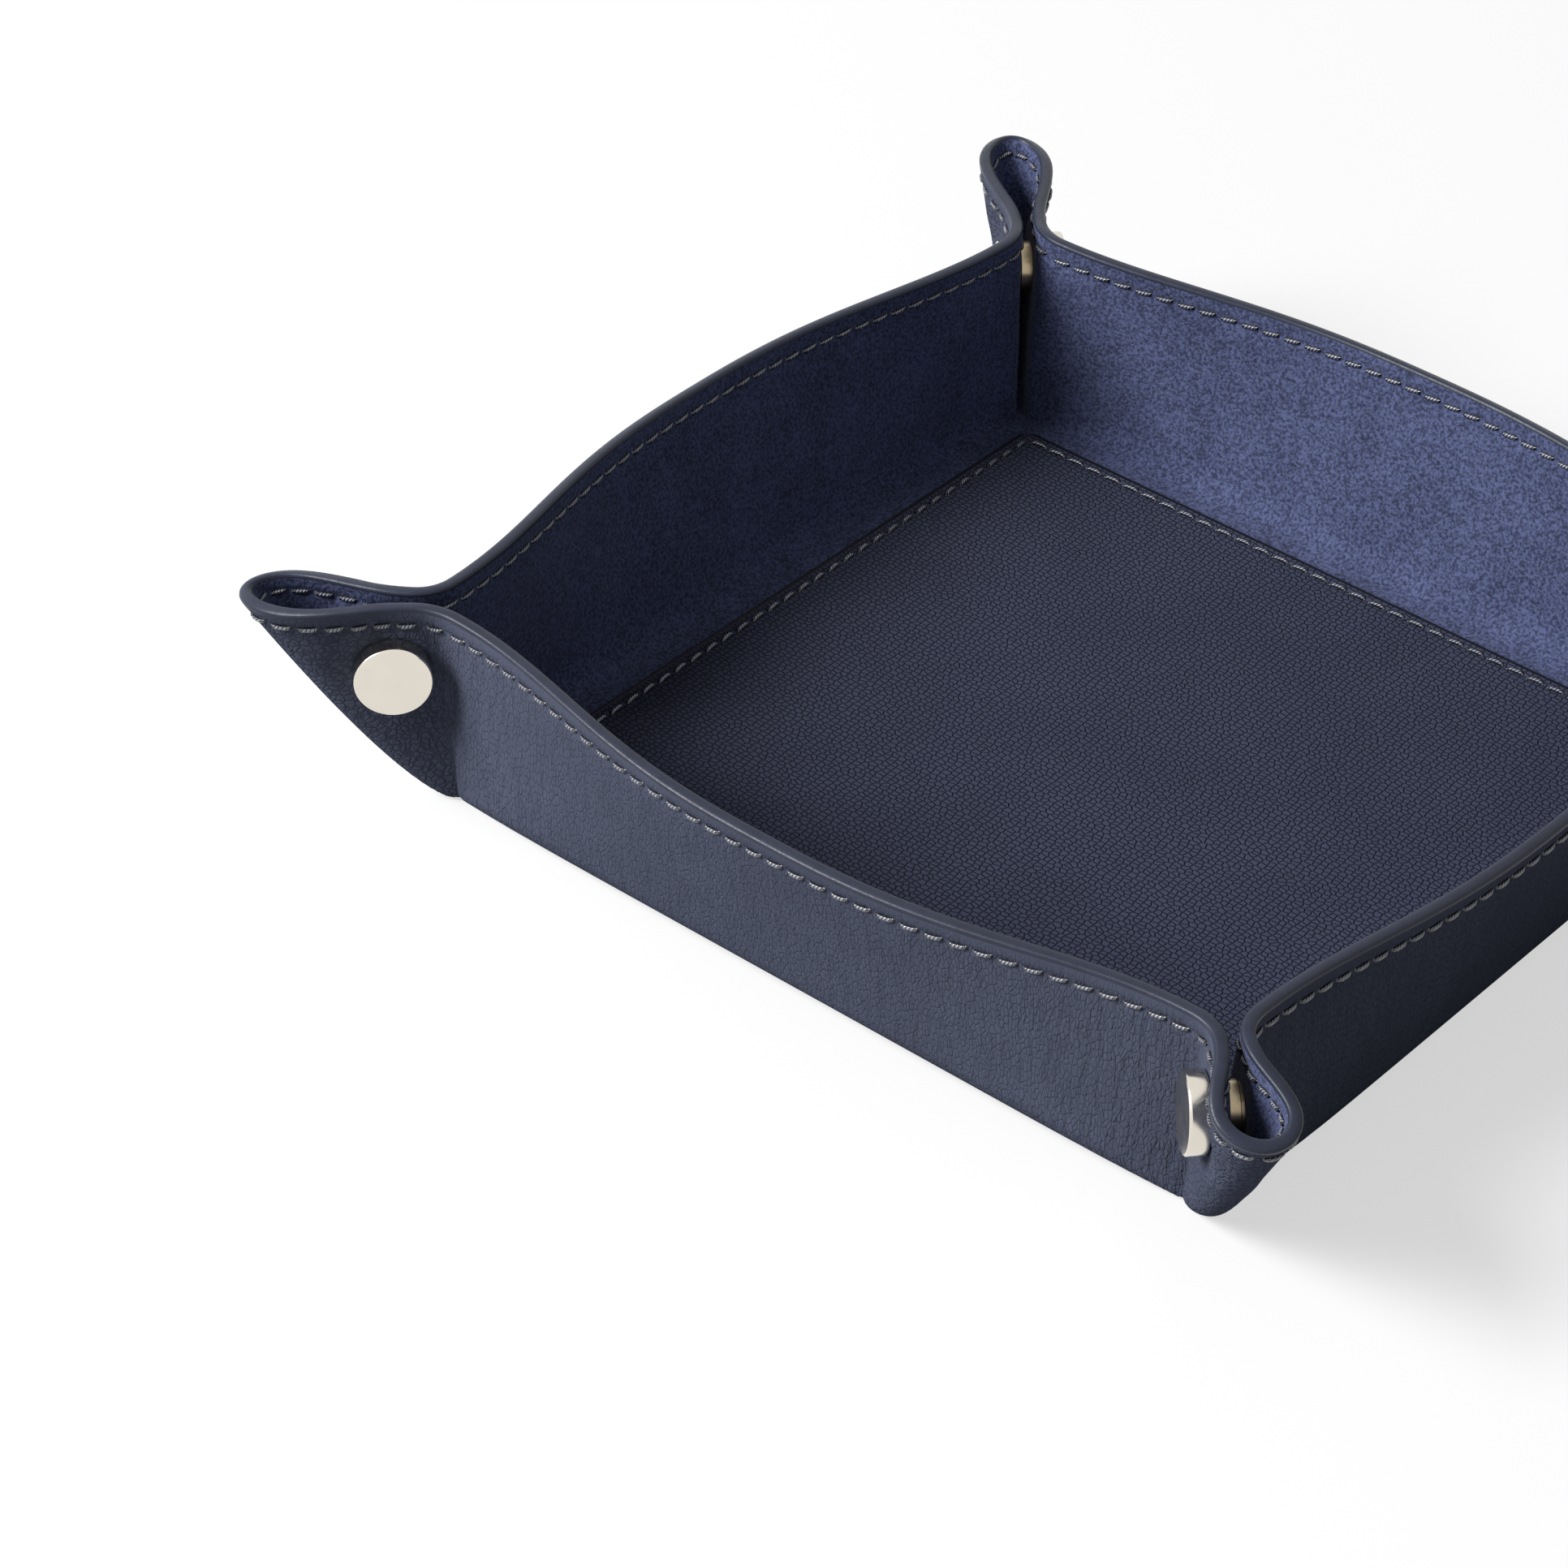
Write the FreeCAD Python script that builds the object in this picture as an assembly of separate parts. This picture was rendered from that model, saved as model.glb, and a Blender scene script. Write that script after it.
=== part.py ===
"""Snap-corner valet tray: a lined leather sheet whose four corners are pinched into ears by snaps."""
import FreeCAD, Part
import math
import os
from FreeCAD import Vector

# Driving dimensions, in millimetres
# Laminate of outer leather and lining
leather_thick = 1.1
glue_gap = 0.1
lining_thick = 0.9
# Flat base
base_half = 69.6
fold_radius = 6.0
fold_clearance = 0.6
fold_lift = 0.25
# Corner of the fold line, where the walls of two sides meet, beyond the flat base
corner_spread = 0.6
ear_foot_half_gap = 1.8
ear_foot_reach = 0.4
# Rim of a wall: outward offset from the flat base, and height above the table
rim_mid_out = {"front": 14.4, "back": 14.4, "left": 14.4, "right": 11.4}
rim_mid_height = 35.0
rim_end_height = 36.0
rim_tip_height = 38.0
# Plan of the pinched corner, measured along the diagonal from the corner of the fold line
bend_radius = 9.5
pinch_reach = 8.05
pinch_half_gap = 1.9
ear_reach = 32.55
ear_half_width = 5.2
ear_end_length = 7.6
# Clearance between pieces that fold against each other
seam_half_gap = 0.6
crease_half_gap = 0.5
# Inner base panel and its board
panel_margin = 3.6
panel_thick = 1.7
panel_corner_radius = 3.0
board_thick = 0.8
board_margin = 6.0
board_clearance = 0.1
# Snap fastener
snap_reach = 10.6
snap_height = 25.2
snap_half_gap = 2.3
snap_flat_radius = 6.4
snap_fade_length = 5.5
cap_radius = 6.0
cap_thick = 3.2
cap_edge_radius = 0.4
cap_seat = 0.1
post_radius = 1.5
post_clearance = 0.15
socket_radius = 4.5
socket_height = 1.8
socket_bore_radius = 2.7
socket_floor = 0.4
spring_wire_radius = 0.25
spring_ring_radius = 2.7
stud_radius = 1.75
stud_flange_radius = 4.2
stud_flange_thick = 0.45
stud_height = 1.4
stud_dome_radius = 0.8
rivet_radius = 4.5
rivet_thick = 0.8
# One length for numerical slopes
slope_step = 0.01

# Shares of the corner's course: bend, straight side, and the round end up to the crease
bend_share = 0.22
side_share = 0.48
seam_share = 0.11
ear_start_share = 0.24
corner_sharpness = 8
bow_power = 1.3
flare_power = 1.0
ear_bulge = 0.28
lowest_normal_share = 0.05

# Grid of each formed sheet
wall_stations = 25
ear_stations = 17
profile_stations = 15
foot_crowding = 1.8

HALF_ROOT = math.sqrt(0.5)
EIGHTH_TURN = math.pi / 4
QUARTER_TURN = math.pi / 2

corner_half = base_half + corner_spread
panel_half = base_half - panel_margin
foot_height = leather_thick + fold_lift
foot_along = corner_half - ear_foot_half_gap * HALF_ROOT
foot_out = corner_half + ear_foot_half_gap * HALF_ROOT
pinch_along = corner_half + (pinch_reach - pinch_half_gap) * HALF_ROOT
pinch_out = corner_half + (pinch_reach + pinch_half_gap) * HALF_ROOT
rim_end_along = pinch_along - bend_radius * math.sin(EIGHTH_TURN)
rim_end_out = pinch_out - bend_radius * (1 - math.cos(EIGHTH_TURN))
bend_length = bend_radius * EIGHTH_TURN
end_length = QUARTER_TURN * (ear_half_width + ear_end_length) / 2


def ease(share):
    """Smooth step from 0 to 1."""
    share = min(max(share, 0), 1)
    return share * share * (3 - 2 * share)


def to_diagonal(along, out):
    """Turn wall coordinates into reach along the corner's diagonal and half gap beside it."""
    along = along - corner_half
    out = out - corner_half
    return (along + out) * HALF_ROOT, (out - along) * HALF_ROOT


def from_diagonal(reach, gap):
    """Turn reach and half gap into wall coordinates."""
    return corner_half + (reach - gap) * HALF_ROOT, corner_half + (reach + gap) * HALF_ROOT


def corner_rim(course):
    """Rim of the pinched corner, as reach, the part of it in the round end, half gap and height."""
    height = rim_end_height + (rim_tip_height - rim_end_height) * ease(course)
    end_start = ear_reach - ear_end_length
    tip = 0
    if course < bend_share:
        turn = EIGHTH_TURN * course / bend_share
        along = rim_end_along + bend_radius * math.sin(turn)
        out = rim_end_out + bend_radius * (1 - math.cos(turn))
        reach, gap = to_diagonal(along, out)
    elif course < bend_share + side_share:
        reach = pinch_reach + (end_start - pinch_reach) * (course - bend_share) / side_share
        spread = ease((reach - pinch_reach) / (end_start - pinch_reach))
        gap = pinch_half_gap + (ear_half_width - pinch_half_gap) * spread
    else:
        turn = QUARTER_TURN * (course - bend_share - side_share) / (1 - bend_share - side_share)
        tip = ear_end_length * math.sin(turn)
        reach = end_start + tip
        gap = ear_half_width * math.cos(turn)
    return reach, tip, gap, height


def corner_foot(course):
    """Foot of the pinched corner, a small round about the corner of the fold line."""
    turn = QUARTER_TURN * max(course - bend_share - side_share, 0) / (1 - bend_share - side_share)
    reach = ear_foot_reach * min(course / (bend_share + side_share), 1)
    return reach + ear_foot_half_gap * math.sin(turn), ear_foot_half_gap * math.cos(turn)


def corner_point(course, rise):
    """Point of the pinched corner on the face between leather and lining, in wall coordinates."""
    rim_reach, tip, rim_gap, rim_height = corner_rim(course)
    foot_reach, foot_gap = corner_foot(course)
    bulged = rise ** (1 - ear_bulge * ease(course))
    reach = foot_reach + (rim_reach - tip - foot_reach) * bulged + tip * rise
    gap = foot_gap + (rim_gap - foot_gap) * rise ** (1 + flare_power * ease(course / bend_share))
    height = foot_height + (rim_height - foot_height) * rise
    distance = math.hypot(reach - snap_reach, height - snap_height)
    held = 1 - ease((distance - snap_flat_radius) / snap_fade_length)
    held = held * ease(course / bend_share) * ease(2 * gap / snap_half_gap - 1 / 2)
    gap = gap + (snap_half_gap - gap) * held
    along, out = from_diagonal(reach, gap)
    return Vector(along, out, height)


def wall_point(station, rise, mid_out):
    """Point of a wall; stations -1 and 1 are its ends, and beyond them it runs into the corners."""
    side = math.copysign(1, station)
    reach = abs(station)
    if reach > 1:
        point = corner_point(reach - 1, rise)
        return Vector(side * point.x, point.y, point.z)
    corner = reach ** corner_sharpness
    bow = (1 - math.cos(math.pi * reach ** bow_power)) / 2
    foot = Vector(foot_along * station, base_half + (foot_out - base_half) * corner, foot_height)
    rim_out = base_half + mid_out + (rim_end_out - base_half - mid_out) * bow
    rim = Vector(rim_end_along * station, rim_out, rim_mid_height + (rim_end_height - rim_mid_height) * bow)
    radius = fold_radius * (1 - corner)
    run = math.hypot(rim.x - foot.x, rim.y - foot.y)
    climb = rim.z - foot.z
    heading = Vector(rim.x - foot.x, rim.y - foot.y, 0) / run
    slant = math.hypot(run, climb - radius)
    angle = math.atan2(climb - radius, run) + math.asin(radius / slant)
    arc = radius * angle
    straight = math.sqrt(slant * slant - radius * radius)
    travel = rise * (arc + straight)
    turned = min(travel / arc, 1) * angle if arc > 0 else angle
    beyond = max(travel - arc, 0)
    forward = radius * math.sin(turned) + beyond * math.cos(angle)
    upward = radius * (1 - math.cos(turned)) + beyond * math.sin(angle)
    return foot + heading * forward + Vector(0, 0, upward)


def sheet_normal(surface, u, v):
    """Unit normal of a formed sheet, pointing to the outside of the tray."""
    step = slope_step / corner_half
    v = max(v, lowest_normal_share)
    across = surface(u + step, v) - surface(u - step, v)
    up = surface(u, v + step) - surface(u, v - step)
    normal = across.cross(up)
    return -normal.normalize()


def grid_surface(surface, u_range, v_range, counts, offset):
    """Spline surface through a grid of points lifted off a formed sheet by an offset."""
    rows = []
    for i in range(counts[0]):
        row = []
        for j in range(counts[1]):
            u = u_range[0] + (u_range[1] - u_range[0]) * i / (counts[0] - 1)
            v = v_range[0] + (v_range[1] - v_range[0]) * (j / (counts[1] - 1)) ** foot_crowding
            row.append(surface(u, v) + sheet_normal(surface, u, v) * offset)
        rows.append(row)
    spline = Part.BSplineSurface()
    spline.interpolate(rows)
    return spline


def sheet_solid(surface, u_range, v_range, counts, low, high):
    """Closed solid between two offsets of a formed sheet."""
    splines = [grid_surface(surface, u_range, v_range, counts, offset) for offset in (low, high)]
    faces = [spline.toShape() for spline in splines]
    edges = []
    for spline in splines:
        u0, u1, v0, v1 = spline.bounds()
        borders = (spline.uIso(u0), spline.uIso(u1), spline.vIso(v0), spline.vIso(v1))
        edges.append([curve.toShape() for curve in borders])
    for first, second in zip(edges[0], edges[1]):
        faces.append(Part.makeRuledSurface(first, second))
    shell = Part.makeShell(faces)
    shell.sewShape()
    solid = Part.makeSolid(shell)
    if solid.Volume < 0:
        solid.reverse()
    return solid


def layer_offsets():
    """Offsets of the two layers from the face between them, positive to the outside."""
    return {"leather": (0, leather_thick), "lining": (-glue_gap - lining_thick, -glue_gap)}


# Turn of each wall from the back wall, in degrees, and the corners at its right-hand and left-hand end
WALL_TURNS = {"front": 180, "left": 90, "back": 0, "right": -90}
EAR_ENDS = {
    "front": ("left", "right"),
    "left": ("back", "front"),
    "back": ("right", "left"),
    "right": ("front", "back"),
}


def place(shape, wall):
    """Turn a piece made for the back wall to its own side of the tray."""
    shape = shape.copy()
    shape.rotate(Vector(0, 0, 0), Vector(0, 0, 1), WALL_TURNS[wall])
    return shape


def make_walls():
    """Leather and lining of the four walls."""
    seam = seam_half_gap / bend_length * bend_share
    reach = 1 + seam_share - seam
    pieces = {}
    for wall, mid_out in rim_mid_out.items():
        def surface(u, v, mid_out=mid_out):
            return wall_point(u, v, mid_out)
        for layer, (low, high) in layer_offsets().items():
            counts = (wall_stations, profile_stations)
            solid = sheet_solid(surface, (-reach, reach), (0, 1), counts, low, high)
            pieces[f"{wall}_wall_{layer}"] = place(solid, wall)
    return pieces


def make_ears():
    """Leather and lining of the eight ears, two at each pinched corner, bored for the snap's post."""
    start = seam_share + seam_half_gap / bend_length * bend_share
    finish = 1 - crease_half_gap / end_length * (1 - bend_share - side_share)
    bore = snap_cylinder(post_radius + post_clearance, -corner_half, corner_half)
    pieces = {}
    for layer, (low, high) in layer_offsets().items():
        counts = (ear_stations, profile_stations)
        solid = sheet_solid(corner_point, (start, finish), (ear_start_share, 1), counts, low, high)
        solid = solid.cut(bore).Solids[0]
        mirrored = solid.mirror(Vector(0, 0, 0), Vector(1, 0, 0))
        for wall, ends in EAR_ENDS.items():
            for end, shape in zip(ends, (solid, mirrored)):
                pieces[f"{wall}_{end}_ear_{layer}"] = place(shape, wall)
    return pieces


def snap_cylinder(radius, low, high):
    """Cylinder on the snap's axis at the back right corner, between two half gaps."""
    along, out = from_diagonal(snap_reach, low)
    axis = Vector(-HALF_ROOT, HALF_ROOT, 0)
    return Part.makeCylinder(radius, high - low, Vector(along, out, snap_height), axis)


lining_face = snap_half_gap - glue_gap - lining_thick
leather_face = snap_half_gap + leather_thick
socket_top = lining_face - cap_seat
socket_mouth = socket_top - socket_height
stud_seat = -lining_face + cap_seat
stud_shoulder = stud_seat + stud_flange_thick


def make_cap():
    """Flat round cap on the outside of the ear, with the post that passes through it."""
    seat = leather_face + cap_seat
    disc = snap_cylinder(cap_radius, seat, seat + cap_thick)
    rounded = [edge for edge in disc.Edges if len(edge.Vertexes) == 1]
    disc = disc.makeFillet(cap_edge_radius, rounded)
    return disc.fuse(snap_cylinder(post_radius, lining_face, seat)).removeSplitter()


def make_socket():
    """Female half: a cup with a ring groove's room for the spring."""
    cup = snap_cylinder(socket_radius, socket_mouth, socket_top)
    return cup.cut(snap_cylinder(socket_bore_radius, socket_mouth - socket_height, socket_top - socket_floor))


def make_spring():
    """Ring spring resting against the wall of the socket's bore."""
    depth = (socket_mouth + socket_top - socket_floor) / 2
    along, out = from_diagonal(snap_reach, depth)
    ring = spring_ring_radius - spring_wire_radius - cap_seat / 2
    axis = Vector(-HALF_ROOT, HALF_ROOT, 0)
    return Part.makeTorus(ring, spring_wire_radius, Vector(along, out, snap_height), axis)


def make_stud():
    """Male half: flange on the lining and a round-ended stud standing in the socket."""
    flange = snap_cylinder(stud_flange_radius, stud_seat, stud_shoulder)
    stud = snap_cylinder(stud_radius, stud_shoulder, stud_shoulder + stud_height)
    tip = max(stud.Faces, key=lambda face: face.CenterOfMass.y - face.CenterOfMass.x)
    stud = stud.makeFillet(stud_dome_radius, tip.Edges)
    return flange.fuse(stud).removeSplitter()


def make_rivet():
    """Plain head on the outside of the facing ear, with the post that holds the stud."""
    seat = -leather_face - cap_seat
    head = snap_cylinder(rivet_radius, seat - rivet_thick, seat)
    tip = max(head.Faces, key=lambda face: face.CenterOfMass.x - face.CenterOfMass.y)
    head = head.makeFillet(rivet_thick / 2, tip.Edges)
    return head.fuse(snap_cylinder(post_radius, seat, -lining_face)).removeSplitter()


def make_snaps():
    """The five pieces of the snap at each of the four corners."""
    makers = {
        "cap": make_cap,
        "socket": make_socket,
        "spring": make_spring,
        "stud": make_stud,
        "rivet": make_rivet,
    }
    pieces = {}
    for name, maker in makers.items():
        right = maker()
        left = right.mirror(Vector(0, 0, 0), Vector(1, 0, 0))
        pieces[f"snap_{name}_back_right"] = right
        pieces[f"snap_{name}_back_left"] = left
        pieces[f"snap_{name}_front_left"] = place(right, "front")
        pieces[f"snap_{name}_front_right"] = place(left, "front")
    return pieces


def base_outline(corner_clearance):
    """Outline of a flat base layer, just inside the fold line of the four walls."""
    edges = []
    sides = []
    for wall in ("back", "right", "front", "left"):
        points = []
        for i in range(wall_stations):
            station = 2 * i / (wall_stations - 1) - 1
            corner = abs(station) ** corner_sharpness
            out = base_half - fold_clearance + (foot_out - base_half - corner_clearance) * corner
            points.append(Vector((foot_along - corner_clearance) * station, out, 0))
        curve = Part.BSplineCurve()
        curve.interpolate(points)
        sides.append(place(curve.toShape(), wall))
    for side, following in zip(sides, sides[1:] + sides[:1]):
        edges.append(side)
        edges.append(Part.makeLine(side.Vertexes[-1].Point, following.Vertexes[0].Point))
    return Part.Face(Part.Wire(edges))


def square_plate(half, radius, low, thick):
    """Square plate with rounded corners."""
    plate = Part.makeBox(2 * half, 2 * half, thick, Vector(-half, -half, low))
    corners = [edge for edge in plate.Edges if abs(edge.Vertexes[0].Z - edge.Vertexes[1].Z) > thick / 2]
    return plate.makeFillet(radius, corners)


def make_base():
    """Base leather, base lining, board and inner panel, stacked."""
    lining_low = leather_thick + glue_gap
    panel_low = lining_low + lining_thick
    lining = base_outline(glue_gap + lining_thick).extrude(Vector(0, 0, lining_thick))
    lining.translate(Vector(0, 0, lining_low))
    pocket_half = panel_half - board_margin
    board_half = pocket_half - board_clearance
    pocket = square_plate(pocket_half, panel_corner_radius, panel_low, board_thick + board_clearance)
    return {
        "base_leather": base_outline(0).extrude(Vector(0, 0, leather_thick)),
        "base_lining": lining,
        "base_board": square_plate(board_half, panel_corner_radius, panel_low, board_thick),
        "base_panel": square_plate(panel_half, panel_corner_radius, panel_low, panel_thick).cut(pocket),
    }


def build():
    """All pieces of the tray by name."""
    pieces = make_base()
    pieces.update(make_walls())
    pieces.update(make_ears())
    pieces.update(make_snaps())
    return pieces


def main():
    os.makedirs("parts", exist_ok=True)
    for name, shape in build().items():
        solid = shape.Solids[0]
        print(name, "valid" if solid.isValid() else "NOT VALID", round(solid.Volume, 1))
        solid.exportStep(os.path.join("parts", name + ".step"))


main()
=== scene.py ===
"""Valet tray with snapped corners: leather, suede, edge paint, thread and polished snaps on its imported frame."""

import math
from types import SimpleNamespace

import bpy
import numpy as np
from bpy.props import FloatProperty, FloatVectorProperty, PointerProperty
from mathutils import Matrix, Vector


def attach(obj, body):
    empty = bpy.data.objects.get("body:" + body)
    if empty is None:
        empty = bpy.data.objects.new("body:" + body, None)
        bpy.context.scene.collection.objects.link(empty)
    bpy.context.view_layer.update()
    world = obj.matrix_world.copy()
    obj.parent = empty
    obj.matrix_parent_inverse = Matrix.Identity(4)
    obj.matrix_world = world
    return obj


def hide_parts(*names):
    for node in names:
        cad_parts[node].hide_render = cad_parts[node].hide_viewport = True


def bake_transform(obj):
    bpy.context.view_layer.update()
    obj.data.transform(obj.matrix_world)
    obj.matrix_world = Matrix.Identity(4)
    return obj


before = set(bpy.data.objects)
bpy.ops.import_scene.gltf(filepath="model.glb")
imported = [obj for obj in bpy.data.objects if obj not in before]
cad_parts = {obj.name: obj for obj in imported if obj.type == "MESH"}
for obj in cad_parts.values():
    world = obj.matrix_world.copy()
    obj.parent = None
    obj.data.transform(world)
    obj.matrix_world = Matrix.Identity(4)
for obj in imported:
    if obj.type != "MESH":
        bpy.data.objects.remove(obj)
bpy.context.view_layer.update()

bl_info = {
    "name": "Snap-corner valet tray",
    "version": (1, 0, 0),
    "blender": (4, 5, 0),
    "location": "View3D > Sidebar > Valet tray",
    "description": "Dresses a lined leather valet tray whose corners are pinched into ears by snaps",
    "category": "Add Mesh",
}

MM = 0.001
HALF_ROOT = math.sqrt(0.5)
UP = np.array([0, 0, 1.0])
WHITE = (1, 1, 1, 1)
# Smallest divisors: for lengths of vectors, and for arcs and steps
TINY = 1e-12
SHORT = 1e-9
# Turn of each wall from the back wall; each runs into the next one at its right-hand end
WALL_TURNS = {"back": 0, "right": -90, "front": 180, "left": 90}
# Shares of a pinched corner's course: the bend and the straight side
BEND_SHARE = 0.22
SIDE_SHARE = 0.48
# Share of a wall's rows that lies between its corners, and the rise at which its fold has turned up
CORE_SHARE = 0.86
FOLD_RISE = 0.16
# Powers that shape the fold line, the rim's bow, the corner's flare, the ear, its rows and the painted edge
CORNER_SHARPNESS = 8
BOW_POWER = 1.3
FLARE_POWER = 1.0
EAR_BULGE = 0.28
TIP_CROWDING = 1.5
EDGE_POWER = 0.7
# How many times lower the painted edge is on its underside than on top
EDGE_FLATNESS = 3
# Gaps, as shares of the snap's own, from which the snap starts to hold the ear and holds it fully
HOLD_START, HOLD_FULL = 0.25, 0.75
# Stations from which, and spans over which, the leather gathers its wrinkles and takes the ears' grain
GATHER_START, GATHER_SPAN = 0.45, 0.65
EAR_START, EAR_SPAN = 1.0, 0.35
# Thread in radii: lift of a stitch's middle, sinking of its ends, width and height; powers of sinking and taper
THREAD_LIFT, THREAD_SINK = 0.75, 2.0
THREAD_WIDE, THREAD_HIGH = 1.2, 0.85
SINK_POWER, TAPER_POWER = 4, 6
# Steps for numerical slopes and the lowest rise at which a slope is taken
SLOPE_STEP = 0.002
LOWEST_RISE = 0.01
# Grid counts of the look-up tables, and the row of rises along which travel is measured
TABLE_STATIONS = 1201
TABLE_RISES = 41
TRAVEL_ROW = 28
CUT_STATIONS = 401
CUT_RISES = 201
ROW_SAMPLES = 400
# Grid counts of the pieces
WALL_STATIONS = 181
BEND_STATIONS = 19
LOOP_STATIONS = 121
FOOT_RISES = 7
LOWER_RISES = 31
ROW_RISES = 11
TOP_RISES = 4
EDGE_POINTS = 16
STITCH_RINGS = 7
STITCH_SIDES = 6
FOLD_POINTS = 81
FOOT_POINTS = 25
# Panel in millimetres: rows by distance from its edge, close over the rounding and the furrow, and the painted width
PANEL_ROWS = (0, 0.03, 0.1, 0.2, 0.33, 0.5, 0.7, 0.9, 1.2, 1.5, 1.8, 2.0, 2.2, 2.4, 2.6, 2.8, 3.0, 3.2, 3.5, 4, 5,
              7, 10, 14, 20, 28, 38, 50)
PANEL_PAINT = 1.3
# Width of the panel's furrow as a share of the rim's
PANEL_FURROW = 0.7
# Nearest distance in metres that the camera sees
NEAREST = 0.01


def mm(name, description, value):
    """Length property with its default given in millimetres."""
    return FloatProperty(name=name, description=description, default=value * MM, unit="LENGTH", precision=5)


def number(name, description, value, unit="NONE"):
    """Number property."""
    return FloatProperty(name=name, description=description, default=value, unit=unit)


def tint(name, description, value):
    """Colour property in linear light."""
    return FloatVectorProperty(name=name, description=description, default=value, subtype="COLOR", min=0, max=1)


class TraySizes(bpy.types.PropertyGroup):
    """Sizes of the formed sheet, its edge, its thread and the inner panel."""
    leather_thick: mm("Leather", "Thickness of the outer leather", 1.1)
    lining_thick: mm("Lining", "Thickness of the suede lining with its glue", 1.0)
    base_half: mm("Base", "Half width of the flat base", 69.6)
    hinge_half: mm("Hinge", "Distance of a wall's hinge from the middle of the base", 74.4)
    hinge_height: mm("Hinge height", "Height of the walls' hinges", 1.5)
    bend_half: mm("Bend", "Half width of the bend between a wall and its ear", 3.0)
    corner_spread: mm("Corner spread", "How far the corner of the fold line lies beyond the base", 0.6)
    fold_radius: mm("Fold radius", "Radius of the fold in the middle of a wall", 6.0)
    lean: mm("Lean", "Outward lean of a wall at the middle of its rim", 14.4)
    right_lean: mm("Right lean", "Outward lean of the right wall, which stands straighter", 11.4)
    rim_mid_height: mm("Rim middle", "Height of the rim at the middle of a wall", 35.0)
    rim_end_height: mm("Rim end", "Height of the rim where the wall runs into its corner", 36.0)
    rim_tip_height: mm("Rim tip", "Height of the rim at the tip of an ear", 38.0)
    foot_half_gap: mm("Ear foot", "Half gap of the ear at its foot", 1.8)
    foot_reach: mm("Ear foot reach", "How far the ear's foot reaches along the diagonal", 0.4)
    bend_radius: mm("Bend radius", "Radius of the rim where the wall bends into the ear", 9.5)
    pinch_reach: mm("Pinch reach", "Distance of the pinch along the diagonal", 8.05)
    pinch_half_gap: mm("Pinch gap", "Half gap of the rim at the pinch", 1.9)
    ear_reach: mm("Ear reach", "Distance of the ear's tip along the diagonal", 32.55)
    ear_half_width: mm("Ear width", "Half width of the ear's open loop", 5.2)
    ear_end_length: mm("Ear end", "Length of the ear's round end", 7.6)
    snap_reach: mm("Snap reach", "Distance of the snap along the diagonal", 10.6)
    snap_height: mm("Snap height", "Height of the snap's axis", 25.2)
    snap_half_gap: mm("Snap gap", "Half gap of the ear at the snap", 2.3)
    snap_flat_radius: mm("Snap flat", "Radius that the snap holds flat", 6.4)
    snap_fade_length: mm("Snap fade", "Length over which the held flat fades out", 5.5)
    edge_height: mm("Edge paint height", "Height of the rounded painted edge", 0.8)
    edge_fade: mm("Edge fade", "Distance below the edge over which the grain comes up", 4.2)
    stitch_drop: mm("Stitch drop", "Distance of the rim stitching below the edge", 3.4)
    stitch_pitch: mm("Stitch pitch", "Distance from stitch to stitch", 3.82)
    stitch_length: mm("Stitch length", "Length of one stitch", 3.5)
    stitch_slant: mm("Stitch slant", "Rise of one stitch across its row", 0.45)
    thread_radius: mm("Thread radius", "Radius of the thread", 0.37)
    groove_depth: mm("Groove depth", "Depth of the furrow that the thread pulls into the sheet", 0.22)
    groove_width: mm("Groove width", "Width of that furrow", 0.8)
    panel_margin: mm("Panel margin", "Distance of the panel's edge from the fold line", 3.6)
    panel_thick: mm("Panel thickness", "Thickness of the inner panel", 1.7)
    panel_corner: mm("Panel corner", "Corner radius of the inner panel", 3.0)
    panel_round: mm("Panel edge", "Radius of the panel's upper edge", 0.9)
    panel_inset: mm("Panel stitch inset", "Distance of the panel's stitching from its edge", 2.6)


class TrayFinish(bpy.types.PropertyGroup):
    """Colours of the tray's finishes."""
    leather: tint("Leather", "Outer leather", (0.0775, 0.0875, 0.129))
    # Panel: the walls' own leather set darker, painted shade standing in for the weaker light on the panel
    panel: tint("Panel leather", "Leather of the inner panel", (0.0575, 0.0635, 0.101))
    suede: tint("Suede", "Suede lining", (0.068, 0.082, 0.163))
    edge: tint("Edge paint", "Painted rim", (0.026, 0.031, 0.052))
    panel_edge: tint("Panel edge", "Painted edge of the inner panel", (0.006, 0.006, 0.009))
    thread: tint("Thread", "Waxed thread", (0.008, 0.009, 0.015))
    # Painted glint: a pale colour laid on the thread's crests in place of a highlight
    painted_glint: tint("Thread crest", "Shine on the crests of the thread", (0.24, 0.25, 0.30))
    nickel: tint("Nickel", "Polished caps and rivets", (0.74, 0.69, 0.61))
    # Sockets and studs: brass made darker than brass, partly painted shade for their place inside the ears
    brass: tint("Brass", "Sockets and studs inside the ears", (0.42, 0.34, 0.22))
    steel: tint("Steel", "Ring springs", (0.55, 0.55, 0.56))
    board: tint("Board", "Fibre board under the panel", (0.16, 0.12, 0.09))
    floor: tint("Floor", "Studio floor, as it throws light back", (0.45, 0.45, 0.45))


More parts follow.
